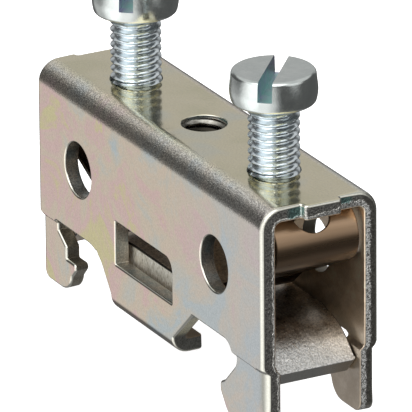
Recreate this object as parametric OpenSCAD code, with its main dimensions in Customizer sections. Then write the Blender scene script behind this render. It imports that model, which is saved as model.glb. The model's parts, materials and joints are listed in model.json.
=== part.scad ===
// Earth terminal block for a 35 mm mounting rail.
// The rail runs along Y. The origin is on the vertical centre line,
// level with the seats of the closed hooks that the rail's edges bear on.

/* [Body] */
// Length of the folded body along X
body_l = 46; // [44:0.5:52]
// Width over both side walls
body_w = 12.5; // [11.5:0.25:16]
// Thickness of the body's sheet
sheet_t = 1.5; // [1.2:0.1:1.8]
// Outer radius of the two long bends
bend_r = 2.2; // [2:0.1:3]
// Height of the web's top face above the rail seat
web_z = 19.2; // [19:0.1:24]
// Width of the carrier tab on the web's end
tab_w = 4; // [2:0.5:6]
// Length that the carrier tab stands out
tab_l = 0.8; // [0.2:0.1:1.5]
// Depth of the matching nick at the other end
nick_d = 0.5; // [0.1:0.1:1]

/* [Screws] */
// Distance between the two clamping screws
screw_span = 28; // [26:0.5:29]
// Outside diameter of the thread
screw_d = 5; // [4:0.1:5.4]
// Length of the screw under its head
screw_l = 12; // [10:0.5:13]
// Distance between two turns of the thread
thread_pitch = 0.8; // [0.5:0.1:1]
// Depth of the thread
thread_depth = 0.42; // [0.2:0.02:0.6]
// Radial play of the thread in the web
thread_play = 0.05; // [0.02:0.01:0.1]
// Diameter of the cheese head
head_d = 8.4; // [7:0.1:10]
// Height of the cheese head
head_h = 3.2; // [2.5:0.1:4]
// Clear height under the head with the screw backed out
head_gap = 6.9; // [4:0.1:8]
// Rounding of the head's upper edge
head_round = 0.4; // [0.1:0.05:0.8]
// Rounding of the head's lower edge
head_foot = 0.45; // [0.1:0.05:0.8]
// Amount by which the head narrows toward its top, per side
head_taper = 0.2; // [0:0.05:0.4]
// Bevel at the screw's tip
tip_bevel = 0.6; // [0.2:0.1:1]
// Width of the screwdriver slot
slot_w = 1.4; // [0.8:0.1:2]
// Depth of the screwdriver slot
slot_depth = 1.9; // [1:0.1:2.2]
// Angle of the screwdriver slot from +X
slot_turn = -40; // [-90:5:90]
// Wall of the drawn collars round the tapped holes
collar_t = 0.85; // [0.6:0.05:1]
// Height of the drawn collars below the web
collar_h = 1.4; // [0.8:0.1:2]
// Core diameter of the empty middle thread
middle_d = 4.3; // [3:0.1:5]

/* [Side holes and windows] */
// Diameter of the round holes below the screws
side_hole_d = 5.5; // [4:0.1:6]
// Height of the round holes above the rail seat
side_hole_z = 10.65; // [9:0.05:11.5]
// Offset of the round holes from the screws, toward -X in both walls
side_hole_shift = 0.5; // [0:0.05:0.8]
// Left edge of the window
window_x0 = -6.8; // [-9:0.1:-2]
// Right edge of the window
window_x1 = 4.9; // [2:0.1:9]
// Lower edge of the window
window_z0 = 3.5; // [3:0.1:5]
// Upper edge of the window
window_z1 = 8; // [7:0.1:10]
// Radius of the window's one round corner
window_r = 1.3; // [0.3:0.1:1.5]

/* [Tongue] */
// Left end of the tongue's folded edge
tongue_x0 = -7.9; // [-9:0.1:-3]
// Right end of the tongue's folded edge
tongue_x1 = 5; // [2:0.1:6]
// Height at which the tongue's fold begins
fold_z = 0.05; // [-0.5:0.05:0.5]
// Inner radius of the tongue's fold
fold_r = 0.25; // [0.1:0.05:0.6]
// Inward reach of the folded edge from the wall's outer face
fold_reach = 3.3; // [2.8:0.1:4]
// Steepness of the tongue's curved side
curve_angle = 53; // [45:1:65]
// Radius of the tongue's curved side
curve_r = 4; // [2:0.1:5]
// Steepness of the tongue's straight side
cut_angle = 43.5; // [40:0.5:60]

/* [Rail hooks] */
// Width of the mounting rail
rail_w = 35; // [34.5:0.1:35.2]
// Height of the rail slots' upper edge above the seat
slot_z = 3.75; // [3.3:0.05:4.5]
// Inward offset of the hooks
joggle = 0.5; // [0.2:0.05:0.8]
// Height over which the hooks step inward
joggle_h = 0.45; // [0.3:0.05:0.8]
// Gap between the rail's edge and the closed hook
seat_gap = 0.65; // [0.2:0.05:1]
// Reach of the closed hook under the rail
seat_reach = 1.8; // [1:0.1:2.5]
// Height of the closed hook's straight wall
seat_h = 1.2; // [1:0.1:1.6]
// Depth of the relief above the closed hook's wall
relief_d = 1.75; // [0.8:0.05:2]
// Height of the sloping relief
relief_h = 1.25; // [0.8:0.05:1.4]
// Corner radius of the closed hook's slot
relief_r = 0.8; // [0.3:0.1:1]
// Height of the closed hook below the seat
closed_drop = 3.35; // [3:0.05:4]
// Radius of the closed hook's toe
toe_r = 2.2; // [1.8:0.1:2.4]
// Angle at which the closed hook's tip meets its toe
toe_angle = 192; // [185:1:200]
// Setback of the toe's centre from the closed hook's tip
toe_back = 3.65; // [3.2:0.05:4]
// Height of the closed hook's step above the slot's upper edge
closed_crease = -0.15; // [-0.5:0.05:0]
// Distance of the latch hook's slot end inside the rail's edge
latch_gap = 0.6; // [0.2:0.05:1]
// Radius of the latch hook's slot end
latch_r = 1.55; // [1.2:0.05:1.8]
// Length of the latch hook's ramp
ramp_l = 2.75; // [2:0.05:3]
// Slope of the ramp
ramp_angle = 45; // [40:1:50]
// Length of the flatter tip beyond the ramp
tip_l = 1.05; // [0.5:0.05:1.4]
// Slope of that tip
tip_angle = 27; // [15:1:35]
// Radius of the latch hook's toe
latch_toe_r = 2.6; // [2.2:0.1:3]
// Height of the latch hook below the seat
latch_drop = 4.35; // [4.2:0.05:5]
// Height of the latch hook's step above the slot's upper edge
latch_crease = -0.8; // [-1:0.05:0]
// Radius of the hooks' outer corners
corner_r = 1.2; // [0.4:0.1:1.6]

/* [Saddle] */
// Thickness of the pressure plate
saddle_t = 2.2; // [1.5:0.1:2.3]
// Height of the plate's top face, in its raised place
saddle_z = 5.2; // [5:0.1:5.6]
// Side play between the plate and the hooks
saddle_play = 0.1; // [0.1:0.05:0.3]
// Side play between the plate's wide middle and the walls
saddle_wall_play = 0.18; // [0.14:0.02:0.3]
// Half length of the plate's flat
saddle_flat = 16.2; // [15:0.1:17]
// Start of the plate's wide part, just past the window
wide_x0 = 8.9; // [8.9:0.1:11]
// End of the plate's wide part, short of the closed hook
wide_x1 = 15.1; // [14:0.1:15.2]
// Length of the slanting shoulders at both ends of the wide part
shoulder_l = 1.8; // [1.2:0.1:1.9]
// Upper radius of the curved ends
saddle_r = 7; // [5:0.1:8]
// Angle through which the ends curve down
saddle_angle = 42; // [30:1:45]
// Straight length at each end
saddle_lip = 2; // [1:0.1:2.2]

/* [Leaves] */
// Thickness of the leaf strip
leaf_t = 0.5; // [0.3:0.05:0.6]
// Play between the leaf and the side walls
leaf_play = 0.55; // [0.2:0.05:0.8]
// Clearance of the leaf's upper strand below the inner bends
leaf_seat = 0.24; // [0.02:0.01:0.3]
// Outer radius of the leaf's roll
roll_r = 3.05; // [2.6:0.05:3.2]
// Setback of the roll from the body's end
roll_back = 0.35; // [0.2:0.05:1]
// Slope of the leaf's lower strand
leaf_angle = 26; // [25:1:30]
// Slope of the foot at the strand's end
foot_angle = 41; // [35:1:45]
// Length of that foot
foot_l = 2.6; // [1.5:0.1:3.5]
// Gap between the leaf's end and the plate
leaf_gap = 0.15; // [0.1:0.05:0.3]
// Length of the upper strand inside the screw's axis
leaf_tail = 5; // [4.6:0.1:8]
// Play of the leaf's hole round the drawn collar
leaf_hole_play = 0.2; // [0.1:0.05:0.4]
// Diameter of the hole in the roll
roll_hole_d = 3.9; // [3:0.1:4.5]
// Angle of the roll's hole from the vertical
roll_hole_angle = 28; // [25:1:40]

/* [Hidden] */
$fn = 64;
// Largest angle between two points on a rounded stretch of an outline
arc_step = 6;
// Overlap that joins solids and carries cuts past a face
over = 1;
end_x = body_l / 2;
side_y = body_w / 2;
screw_x = screw_span / 2;
under_z = web_z - sheet_t;
rail_x = rail_w / 2;
thread_hole_d = screw_d + 2 * thread_play;
screw_r = screw_d / 2;
core_r = screw_r - thread_depth;
thread_z = tip_bevel - screw_l;
turns = floor((screw_l - tip_bevel) / thread_pitch);
// Shares of a turn at which its crest ends and the root lies
crest_end = 1 / 4;
root_at = 5 / 8;
head_r = head_d / 2;
// Closed hook
wall_x = rail_x + seat_gap;
relief_x = wall_x + relief_d;
toe_x = rail_x - seat_reach + toe_back;
// Latch hook
latch_x = rail_x - latch_gap - latch_r;
latch_toe_z = latch_toe_r - latch_drop;
ramp_top = [latch_x + latch_r * cos(ramp_angle), slot_z - latch_r - latch_r * sin(ramp_angle)];
ramp_end = ramp_top - ramp_l * [cos(ramp_angle), sin(ramp_angle)];
tip_end = ramp_end - tip_l * [cos(tip_angle), sin(tip_angle)];
// Tongue
fold_out = fold_r + sheet_t;
curve_z = slot_z - curve_r;
curve_end_z = curve_z + curve_r * cos(curve_angle);
curve_end_x = tongue_x0 - (curve_end_z - fold_z) / tan(curve_angle);
curve_x = curve_end_x - curve_r * sin(curve_angle);
cut_x = tongue_x1 + (slot_z - fold_z) / tan(cut_angle);
// Pressure plate and leaves
saddle_w = body_w - 2 * (sheet_t + joggle + saddle_play);
saddle_wide = body_w - 2 * (sheet_t + saddle_wall_play);
leaf_w = body_w - 2 * (sheet_t + leaf_play);
inner_r = bend_r - sheet_t;
into_bend = max(0, inner_r - leaf_play);
leaf_z = under_z - inner_r + sqrt(inner_r * inner_r - into_bend * into_bend) - leaf_seat;
roll_x = end_x - roll_back - roll_r;
roll_z = leaf_z - roll_r;
leave_angle = 180 - leaf_angle;
leave_z = roll_z + roll_r * cos(leave_angle);
foot_z = saddle_z + leaf_gap + foot_l * sin(foot_angle);
strand_l = (leave_z - foot_z) / sin(leaf_angle);
kink = [roll_x + roll_r * sin(leave_angle) - strand_l * cos(leaf_angle), foot_z];
foot_end = kink - foot_l * [cos(foot_angle), sin(foot_angle)];
kink_mid = (leaf_angle + foot_angle) / 2;
kink_in = kink + leaf_t / cos((foot_angle - leaf_angle) / 2) * [-sin(kink_mid), cos(kink_mid)];
collar_d = thread_hole_d + 2 * collar_t;

// Points of a circular arc about [x, z], from angle a0 to a1
function arc(x, z, r, a0, a1) =
    let (steps = ceil(abs(a1 - a0) / arc_step))
    [for (i = [0 : steps]) let (a = a0 + (a1 - a0) * i / steps) [x + r * cos(a), z + r * sin(a)]];

// End of a straight of length l that leaves an arc about [x, z] after it has bent down through a
function leave(x, z, r, a, l) = [x + r * sin(a) + l * cos(a), z + r * cos(a) - l * sin(a)];

// Outline in X and Z, as a plate from y0 to y1
module plate(y0, y1) {
    translate([0, y1, 0]) rotate([90, 0, 0]) linear_extrude(y1 - y0) children();
}

// Section in Y and Z, drawn out from x0 to x1
module along_x(x0, x1) {
    translate([x0, 0, 0]) rotate([90, 0, 90]) linear_extrude(x1 - x0) children();
}

// The near wall's feature and its copy, half a turn round, on the far wall
module both_walls() {
    children();
    rotate([0, 0, 180]) children();
}

// Part of a ring about the origin, from angle a0 to a1, less than half a turn
module ring_part(r_out, r_in, a0, a1) {
    far = 3 * r_out;
    mid = (a0 + a1) / 2;
    intersection() {
        difference() {
            circle(r_out);
            circle(r_in);
        }
        polygon([[0, 0], far * [cos(a0), sin(a0)], far * [cos(mid), sin(mid)], far * [cos(a1), sin(a1)]]);
    }
}

// Side view of a strip, level from x0 to x, bent down through a about [x, z], then straight for l
module bent_strip(x0, x, z, r, t, a, l) {
    polygon(concat(
        [[x0, z + r]],
        arc(x, z, r, 90, 90 - a),
        [leave(x, z, r, a, l), leave(x, z, r - t, a, l)],
        arc(x, z, r - t, 90 - a, 90),
        [[x0, z + r - t]]
    ));
}

// Channel outline with round shoulders, down to the rail slots
module channel_outline(half_w, top, r) {
    translate([-half_w, slot_z]) square([2 * half_w, top - r - slot_z]);
    translate([r - half_w, slot_z]) square([2 * (half_w - r), top - slot_z]);
    for (side = [-1, 1]) translate([side * (half_w - r), top - r]) circle(r);
}

module channel_section() {
    difference() {
        channel_outline(side_y, web_z, bend_r);
        channel_outline(side_y - sheet_t, under_z, inner_r);
        translate([sheet_t - side_y, slot_z - over]) square([2 * (side_y - sheet_t), 2 * over]);
    }
}

// Strip of wall that steps inward below the crease
module joggle_section(crease, low) {
    y0 = -side_y;
    y1 = y0 + joggle;
    step_z = crease - joggle_h;
    polygon([
        [y0, slot_z + over], [y0, crease], [y1, step_z], [y1, low],
        [y1 + sheet_t, low], [y1 + sheet_t, step_z], [y0 + sheet_t, crease], [y0 + sheet_t, slot_z + over]
    ]);
}

module closed_hook_outline() {
    polygon(concat(
        [[end_x, slot_z + over], [relief_x - relief_r, slot_z + over]],
        arc(relief_x - relief_r, slot_z - relief_r, relief_r, 90, 0),
        [[relief_x, seat_h + relief_h], [wall_x, seat_h], [wall_x, 0], [rail_x - seat_reach, 0]],
        arc(toe_x, toe_r - closed_drop, toe_r, toe_angle, 270),
        arc(end_x - corner_r, corner_r - closed_drop, corner_r, 270, 360)
    ));
}

module latch_hook_outline() {
    polygon(concat(
        [[end_x, slot_z + over], [latch_x, slot_z + over]],
        arc(latch_x, slot_z - latch_r, latch_r, 90, -ramp_angle),
        [ramp_end, tip_end],
        arc(tip_end[0] + latch_toe_r, latch_toe_z, latch_toe_r, 180, 270),
        arc(end_x - corner_r, corner_r - latch_drop, corner_r, 270, 360)
    ));
}

module closed_hook() {
    low = -closed_drop - over;
    intersection() {
        mirror([1, 0, 0]) plate(-side_y - over, 0) closed_hook_outline();
        along_x(-end_x - over, 0) joggle_section(slot_z + closed_crease, low);
    }
}

module latch_hook() {
    low = -latch_drop - over;
    intersection() {
        plate(-side_y - over, 0) latch_hook_outline();
        along_x(0, end_x + over) joggle_section(slot_z + latch_crease, low);
    }
}

// Tongue between the hooks, with its lower edge folded inward
module tongue() {
    plate(-side_y, sheet_t - side_y) polygon(concat(
        [[cut_x, slot_z + over], [curve_x, slot_z + over]],
        arc(curve_x, curve_z, curve_r, 90, 90 - curve_angle),
        [[tongue_x0, fold_z], [tongue_x1, fold_z], [cut_x, slot_z]]
    ));
    along_x(tongue_x0, tongue_x1) {
        translate([fold_out - side_y, fold_z]) ring_part(fold_out, fold_r, 180, 270);
        translate([fold_out - side_y, fold_z - fold_out]) square([fold_reach - fold_out, sheet_t]);
    }
}

module window_outline() {
    polygon(concat(
        [[window_x0, window_z1], [window_x0, window_z0], [window_x1, window_z0]],
        arc(window_x1 - window_r, window_z1 - window_r, window_r, 0, 90)
    ));
}

// One folded steel strip: web, side walls, tongues and hooks
module clamp_body() {
    color([0.73, 0.69, 0.62]) difference() {
        union() {
            along_x(-end_x, end_x) channel_section();
            both_walls() {
                closed_hook();
                latch_hook();
                tongue();
            }
            translate([end_x - over, -tab_w / 2, under_z]) cube([tab_l + over, tab_w, sheet_t]);
            for (x = [-screw_x, screw_x])
                translate([x, 0, under_z - collar_h]) cylinder(d = collar_d, h = collar_h + sheet_t / 2);
            translate([0, 0, under_z - collar_h])
                cylinder(d = middle_d + 2 * collar_t, h = collar_h + sheet_t / 2);
        }
        translate([-end_x - over, -tab_w / 2, under_z - over])
            cube([nick_d + over, tab_w, sheet_t + 2 * over]);
        for (x = [-screw_x, screw_x]) translate([x, 0, under_z - collar_h - over])
            cylinder(d = thread_hole_d, h = collar_h + sheet_t + 2 * over);
        translate([0, 0, under_z - collar_h - over])
            cylinder(d = middle_d, h = collar_h + sheet_t + 2 * over);
        both_walls() plate(-side_y - over, sheet_t - side_y + over) window_outline();
        for (x = [-screw_x, screw_x]) plate(-side_y - over, side_y + over)
            translate([x - side_hole_shift, side_hole_z]) circle(d = side_hole_d);
    }
}

// Plan of the pressure plate: wide beside each closed hook, narrower beside windows and latch hooks
module saddle_plan() {
    wide = saddle_wide / 2;
    narrow = saddle_w / 2;
    right = [
        [end_x, -narrow], [end_x, narrow], [wide_x1 + shoulder_l, narrow],
        [wide_x1, wide], [wide_x0, wide], [wide_x0 - shoulder_l, narrow]
    ];
    polygon(concat(right, -right));
}

// Pressure plate that the screws drive down on the rail
module saddle() {
    color([0.6, 0.57, 0.53]) intersection() {
        for (side = [0, 1]) mirror([side, 0, 0]) plate(-saddle_wide / 2, saddle_wide / 2)
            bent_strip(-over, saddle_flat, saddle_z - saddle_r, saddle_r, saddle_t, saddle_angle, saddle_lip);
        translate([0, 0, saddle_z - 2 * saddle_r]) linear_extrude(2 * saddle_r + over) saddle_plan();
    }
}

// Side view of the leaf: level strand, roll, sloping strand and steeper foot
module leaf_outline() {
    inner = roll_r - leaf_t;
    polygon(concat(
        [[screw_x - leaf_tail, leaf_z]],
        arc(roll_x, roll_z, roll_r, 90, 90 - leave_angle),
        [kink, foot_end, foot_end + leaf_t * [-sin(foot_angle), cos(foot_angle)], kink_in],
        arc(roll_x, roll_z, inner, 90 - leave_angle, 90),
        [[screw_x - leaf_tail, leaf_z - leaf_t]]
    ));
}

// Thin strip that hangs on the drawn collar, rolled at the mouth, and guards the conductor
module leaf() {
    color([0.5, 0.4, 0.3]) difference() {
        plate(-leaf_w / 2, leaf_w / 2) leaf_outline();
        translate([screw_x, 0, leaf_z - leaf_t - over])
            cylinder(d = collar_d + 2 * leaf_hole_play, h = leaf_t + 2 * over);
        translate([roll_x, 0, roll_z]) rotate([0, roll_hole_angle, 0])
            cylinder(d = roll_hole_d, h = roll_r + over);
    }
}

module leaf_right() {
    leaf();
}

module leaf_left() {
    rotate([0, 0, 180]) leaf();
}

// Half section of the screw, with the thread's turns as rings
module screw_section() {
    polygon(concat(
        [[0, -screw_l], [screw_r - tip_bevel, -screw_l]],
        [for (i = [0 : turns - 1], point = [[screw_r, 0], [screw_r, crest_end], [core_r, root_at]])
            [point[0], thread_z + (i + point[1]) * thread_pitch]],
        [[core_r, 0]],
        arc(head_r - head_foot, head_foot, head_foot, 270, 360),
        arc(head_r - head_taper - head_round, head_h - head_round, head_round, 0, 90),
        [[0, head_h]]
    ));
}

// Slotted cheese-head screw, upright, with the underside of its head at the origin
module screw() {
    color([0.78, 0.8, 0.82]) difference() {
        rotate_extrude() screw_section();
        rotate(slot_turn) translate([-head_d, -slot_w / 2, head_h - slot_depth])
            cube([2 * head_d, slot_w, slot_depth + over]);
    }
}

module screw_right() {
    translate([screw_x, 0, web_z + head_gap]) screw();
}

module screw_left() {
    translate([-screw_x, 0, web_z + head_gap]) screw();
}

clamp_body();
saddle();
leaf_left();
leaf_right();
screw_left();
screw_right();
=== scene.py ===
# %% [markdown]
# # Earth terminal block
# A folded steel channel that hooks on a mounting rail. Two slotted screws press a conductor at each
# end between a rolled leaf and a pressure plate. Nearly every piece of the real thing is punched flat
# and then bent, so the pieces here are made the same way: a flat outline, a rounded rim, and a function
# that folds the flat sheet into place.

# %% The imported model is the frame
import json

import bpy
import numpy as np
from mathutils import Matrix, Vector
from mathutils.geometry import delaunay_2d_cdt

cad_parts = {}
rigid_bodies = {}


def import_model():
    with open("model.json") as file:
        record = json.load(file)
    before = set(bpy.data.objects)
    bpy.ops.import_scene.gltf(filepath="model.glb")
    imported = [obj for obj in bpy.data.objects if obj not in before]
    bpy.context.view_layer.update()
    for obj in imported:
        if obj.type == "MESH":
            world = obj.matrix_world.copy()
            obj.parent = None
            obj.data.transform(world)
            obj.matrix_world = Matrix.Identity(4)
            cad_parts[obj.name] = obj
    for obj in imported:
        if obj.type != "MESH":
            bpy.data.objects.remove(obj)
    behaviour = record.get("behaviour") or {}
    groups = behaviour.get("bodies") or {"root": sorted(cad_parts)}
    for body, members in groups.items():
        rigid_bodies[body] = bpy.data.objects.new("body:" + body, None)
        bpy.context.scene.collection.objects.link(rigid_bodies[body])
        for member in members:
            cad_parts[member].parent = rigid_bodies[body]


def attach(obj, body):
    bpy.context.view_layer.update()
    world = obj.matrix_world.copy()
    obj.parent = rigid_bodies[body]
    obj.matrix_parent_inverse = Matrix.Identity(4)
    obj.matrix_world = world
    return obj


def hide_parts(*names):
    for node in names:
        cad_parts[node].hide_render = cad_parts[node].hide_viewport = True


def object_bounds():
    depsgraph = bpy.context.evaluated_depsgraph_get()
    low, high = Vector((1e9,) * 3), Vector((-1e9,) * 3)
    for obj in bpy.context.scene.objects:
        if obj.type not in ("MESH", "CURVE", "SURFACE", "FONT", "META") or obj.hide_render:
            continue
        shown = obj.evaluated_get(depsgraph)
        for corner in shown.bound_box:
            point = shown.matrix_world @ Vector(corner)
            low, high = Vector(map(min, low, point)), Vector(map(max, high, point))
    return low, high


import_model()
cad_low, cad_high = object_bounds()
MM = 0.001
print("CAD box in mm:", [round(v / MM, 2) for v in (*cad_low, *cad_high)])

# %% [markdown]
# ## Outlines
# A punched outline is straight edges and arcs. Every corner of a real punch has a small radius, and that
# radius also gives the render its bright corner lines. So an outline is written as corner points, each
# with its own radius, and long straights get more points so that they can bend later.

# %% Outline helpers
ARC_STEP = 9                    # at most this many degrees between two points of an arc
OUTLINE_STEP = 0.35             # and this many millimetres between two points of a straight


def arc_points(centre, radius, start, stop, step=0.3):
    """Points on a circle: centre plus radius times (cos, sin) of angles from start to stop, in degrees."""
    count = max(3, int(np.ceil(abs(np.radians(stop - start)) * radius / step)) + 1)
    angle = np.radians(np.linspace(start, stop, max(count, int(abs(stop - start) / ARC_STEP) + 1)))
    return np.asarray(centre) + radius * np.column_stack([np.cos(angle), np.sin(angle)])


def rounded(corners):
    """Closed outline from rows of (x, y, radius). Each corner is replaced by the arc that is tangent to
    both of its edges: it starts radius / tan(half the corner's angle) before the corner."""
    corners = np.asarray(corners, float)
    point, radius = corners[:, :2], corners[:, 2]
    back = np.roll(point, 1, 0) - point
    ahead = np.roll(point, -1, 0) - point
    back /= np.linalg.norm(back, axis=1)[:, None]
    ahead /= np.linalg.norm(ahead, axis=1)[:, None]
    half = np.arccos(np.clip((back * ahead).sum(1), -1, 1)) / 2
    parts = []
    for p, r, b, a, h in zip(point, radius, back, ahead, half):
        if r <= 0 or h > np.radians(89):  # sharp, or nearly straight
            parts.append(p[None])
            continue
        middle = (a + b) / np.linalg.norm(a + b)
        turn = np.pi - 2 * h
        sweep = np.linspace(-turn / 2, turn / 2, max(4, int(np.degrees(turn) / ARC_STEP) + 1))
        side = np.array([-middle[1], middle[0]])
        side *= np.sign(side @ (a - b))
        around = -np.cos(sweep)[:, None] * middle + np.sin(sweep)[:, None] * side
        parts.append(p + middle * r / np.sin(h) + r * around)
    return np.vstack(parts)


def filled(outline, step=OUTLINE_STEP):
    """The same closed outline with points added so that no edge is longer than step."""
    following = np.roll(outline, -1, 0)
    count = np.maximum(1, np.ceil(np.linalg.norm(following - outline, axis=1) / step)).astype(int)
    first = np.repeat(np.arange(len(outline)), count)
    share = (np.arange(count.sum()) - np.repeat(np.cumsum(count) - count, count)) / count[first]
    return outline[first] * (1 - share[:, None]) + following[first] * share[:, None]


def turning(outline, ccw):
    """The outline, reversed if needed so that it runs counter-clockwise (or clockwise for a hole)."""
    x, y = outline.T
    area = (x * np.roll(y, -1) - y * np.roll(x, -1)).sum()
    return outline if (area > 0) == ccw else outline[::-1]


def round_hole(x, y, radius):
    """A hole's outline: a clockwise circle that stops 5 degrees short, because its last edge closes it."""
    return turning(arc_points((x, y), radius, 0, 355), False)


# %% [markdown]
# ## From a flat blank to a folded piece
# The blank's two faces are filled with triangles by a constrained Delaunay triangulation, and the rim
# between them is a strip of rings: a rounded edge on the punch side, the cut face, and a sharper edge on
# the other side. A Bevel modifier could round the edges too, but rings made here keep the exact normals,
# so flat faces stay flat in reflections. A fold function then carries every point (u, v, depth) to its
# place.

# %% Blank, rim and fold
def rim_profile(thickness, punch_edge, far_edge, slant=0.03, roll_over=1.0):
    """Rings of a punched edge as (inset, depth, normal angle): a quarter ellipse, punch_edge deep and
    roll_over times as wide, a cut face that slants inward a little, and a quarter circle of radius
    far_edge. The punch edge may differ from point to point, so inset and depth have a row for each ring
    and a column for each point, or one for all."""
    punch = np.atleast_1d(punch_edge)[None]
    a = np.radians(np.linspace(0, 90, 6))[:, None]
    b = np.radians(np.linspace(90, 180, 4))[1:, None]
    share = np.linspace(0, 1, 6)[1:, None]
    cut = punch + (thickness - far_edge - punch) * share
    one = np.ones_like(punch)
    wide = punch * np.atleast_1d(roll_over)[None]
    last = slant + far_edge * (1 - np.sin(b))
    inset = np.vstack([wide * (1 - np.sin(a)), slant * share * one, last * one])
    depth = np.vstack([punch * (1 - np.cos(a)), cut, (thickness - far_edge * (1 + np.cos(b))) * one])
    lean = np.arctan2(np.sin(a) * punch, np.cos(a) * wide)
    return inset, depth, np.vstack([lean, np.full_like(cut, np.pi / 2), b * one])


def inside(points, loops):
    """True where a point has an odd number of outline edges to its right, counted over all loops."""
    start = np.vstack(loops)
    stop = np.vstack([np.roll(l, -1, 0) for l in loops])
    run = stop - start
    found = np.zeros(len(points), bool)
    for chunk in np.array_split(np.arange(len(points)), max(1, len(points) // 2000)):
        x, y = points[chunk, :1], points[chunk, 1:]
        spans = (start[:, 1] > y) != (stop[:, 1] > y)
        with np.errstate(divide="ignore", invalid="ignore"):
            cross = start[:, 0] + (y - start[:, 1]) * run[:, 0] / run[:, 1]
        found[chunk] = ((x < cross) & spans).sum(1) % 2 == 1
    return found


def clear_of(points, loops, gap):
    """True where a point is further than gap from every outline point."""
    edge = np.vstack(loops)
    keep = np.ones(len(points), bool)
    for chunk in np.array_split(np.arange(len(points)), max(1, len(points) // 1000)):
        away = points[chunk, None] - edge[None]
        keep[chunk] = (away ** 2).sum(2).min(1) > gap * gap
    return keep


def triangles(loops, extra):
    """Constrained Delaunay triangles of the region between the loops, as indices into loops then extra."""
    points = np.vstack([*loops, extra])
    edges, base = [], 0
    for loop in loops:
        index = np.arange(len(loop))
        edges.append(np.column_stack([index, np.roll(index, -1)]) + base)
        base += len(loop)
    _, _, faces, origin, _, _ = delaunay_2d_cdt(
        [Vector(p) for p in points], np.vstack(edges).tolist(), [], 0, 1e-6)
    first = np.array([o[0] for o in origin])
    tris = first[np.array([f for f in faces if len(f) == 3])]
    return tris[inside(points[tris].mean(1), loops)]


def inward(loop):
    """Mitred direction into the material (left of a counter-clockwise loop) at each outline point: the sum
    of the two edges' normals over one plus their dot product, held under 1.6 long."""
    edge = np.roll(loop, -1, 0) - loop
    edge /= np.linalg.norm(edge, axis=1)[:, None]
    normal = np.column_stack([-edge[:, 1], edge[:, 0]])
    before = np.roll(normal, 1, 0)
    mitre = (normal + before) / (1 + (normal * before).sum(1))[:, None]
    length = np.linalg.norm(mitre, axis=1)
    return mitre * np.minimum(1, 1.6 / length)[:, None]


def folded_sheet(loops, rims, fold, extra, gap=0.3):
    """Vertices, faces, normals and marks of a sheet piece.
    loops: outline first, then holes; rims: one profile per loop; extra: points that the faces need for
    bending. fold(u, v) gives the outer surface point, its normal, the thickness direction, and the
    directions of u and v. Rim faces that stand within 10 degrees of the cut face get the second finish."""
    u, depth, angle, ways = [], [], [], []
    quads, base = [], 0
    outer, inner, outer_id, inner_id = [], [], [], []
    for loop, (inset, deep, lean) in zip(loops, rims):
        way = inward(loop)
        rings = loop[None] + inset[..., None] * way[None]
        count, n = len(lean), len(loop)
        u.append(rings.reshape(-1, 2))
        depth.append(np.broadcast_to(deep, (count, n)).ravel())
        angle.append(np.broadcast_to(lean, (count, n)).ravel())
        ways.append(np.tile(way, (count, 1)))
        index = base + np.arange(count * n).reshape(count, n)
        ahead = np.roll(index, -1, 1)
        quads.append(np.stack([index[:-1], index[1:], ahead[1:], ahead[:-1]], 2).reshape(-1, 4))
        outer.append(rings[0])
        inner.append(rings[-1])
        outer_id.append(index[0])
        inner_id.append(index[-1])
        base += count * n
    spare = extra[inside(extra, outer) & inside(extra, inner)
                  & clear_of(extra, outer, gap) & clear_of(extra, inner, gap)]
    k = len(spare)
    ids_out = np.concatenate([*outer_id, base + np.arange(k)])
    ids_in = np.concatenate([*inner_id, base + k + np.arange(k)])
    thickness = rims[0][1].max()
    u += [spare, spare]
    depth += [np.zeros(k), np.full(k, thickness)]
    angle += [np.zeros(k), np.full(k, np.pi)]
    ways += [np.zeros((k, 2)), np.zeros((k, 2))]
    u, depth, angle, ways = (np.concatenate(a) for a in (u, depth, angle, ways))
    surface, normal, across, along_u, along_v = fold(u[:, 0], u[:, 1])
    verts = surface - depth[:, None] * across
    out = -(ways[:, :1] * along_u + ways[:, 1:] * along_v)
    out /= np.maximum(np.linalg.norm(out, axis=1), 1e-9)[:, None]
    normals = normal * np.cos(angle)[:, None] + out * np.sin(angle)[:, None]
    tri_out = ids_out[triangles(outer, spare)]
    tri_in = ids_in[triangles(inner, spare)][:, ::-1]
    quads = np.vstack(quads)
    faces = [*tri_out.tolist(), *tri_in.tolist(), *quads.tolist()]
    steep = np.abs(np.sin(angle[quads]).mean(1)) > np.sin(np.radians(80))
    kind = np.concatenate([np.zeros(len(tri_out) + len(tri_in)), steep]).astype(int)
    return dict(verts=verts, faces=faces, normals=normals, kind=kind, depth=depth / thickness, flat=u)


# %% Meshes
def add_mesh(name, verts, faces, materials, kind=None, normals=None, sharp=None, **marks):
    """A mesh object at the origin from vertices in millimetres, with named float marks on its points."""
    mesh = bpy.data.meshes.new(name)
    mesh.from_pydata((np.asarray(verts) * MM).tolist(), [], faces)
    for material in materials:
        mesh.materials.append(material)
    if kind is not None:
        mesh.polygons.foreach_set("material_index", np.asarray(kind, np.int32))
    mesh.polygons.foreach_set("use_smooth", np.ones(len(mesh.polygons), bool))
    for mark, values in marks.items():
        layer = mesh.attributes.new(mark, "FLOAT", "POINT")
        layer.data.foreach_set("value", np.asarray(values, np.float32))
    mesh.update()
    if normals is not None:
        mesh.normals_split_custom_set_from_vertices(np.asarray(normals).tolist())
    if sharp is not None:
        mesh.set_sharp_from_angle(angle=np.radians(sharp))
    piece = bpy.data.objects.new(name, mesh)
    bpy.context.scene.collection.objects.link(piece)
    print(f"{name}: {len(mesh.vertices)} points, {len(mesh.polygons)} faces")
    return piece


# %% [markdown]
# ## Sizes
# Nearly all sizes are the ones that the solids have, in millimetres. The punched edges are rounded only
# here, and the plate and the leaves are a little wider here, to close gaps of light beside them. The origin
# is on the vertical centre line, level with the hooks' seats for the rail, and the rail runs along Y.

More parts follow.
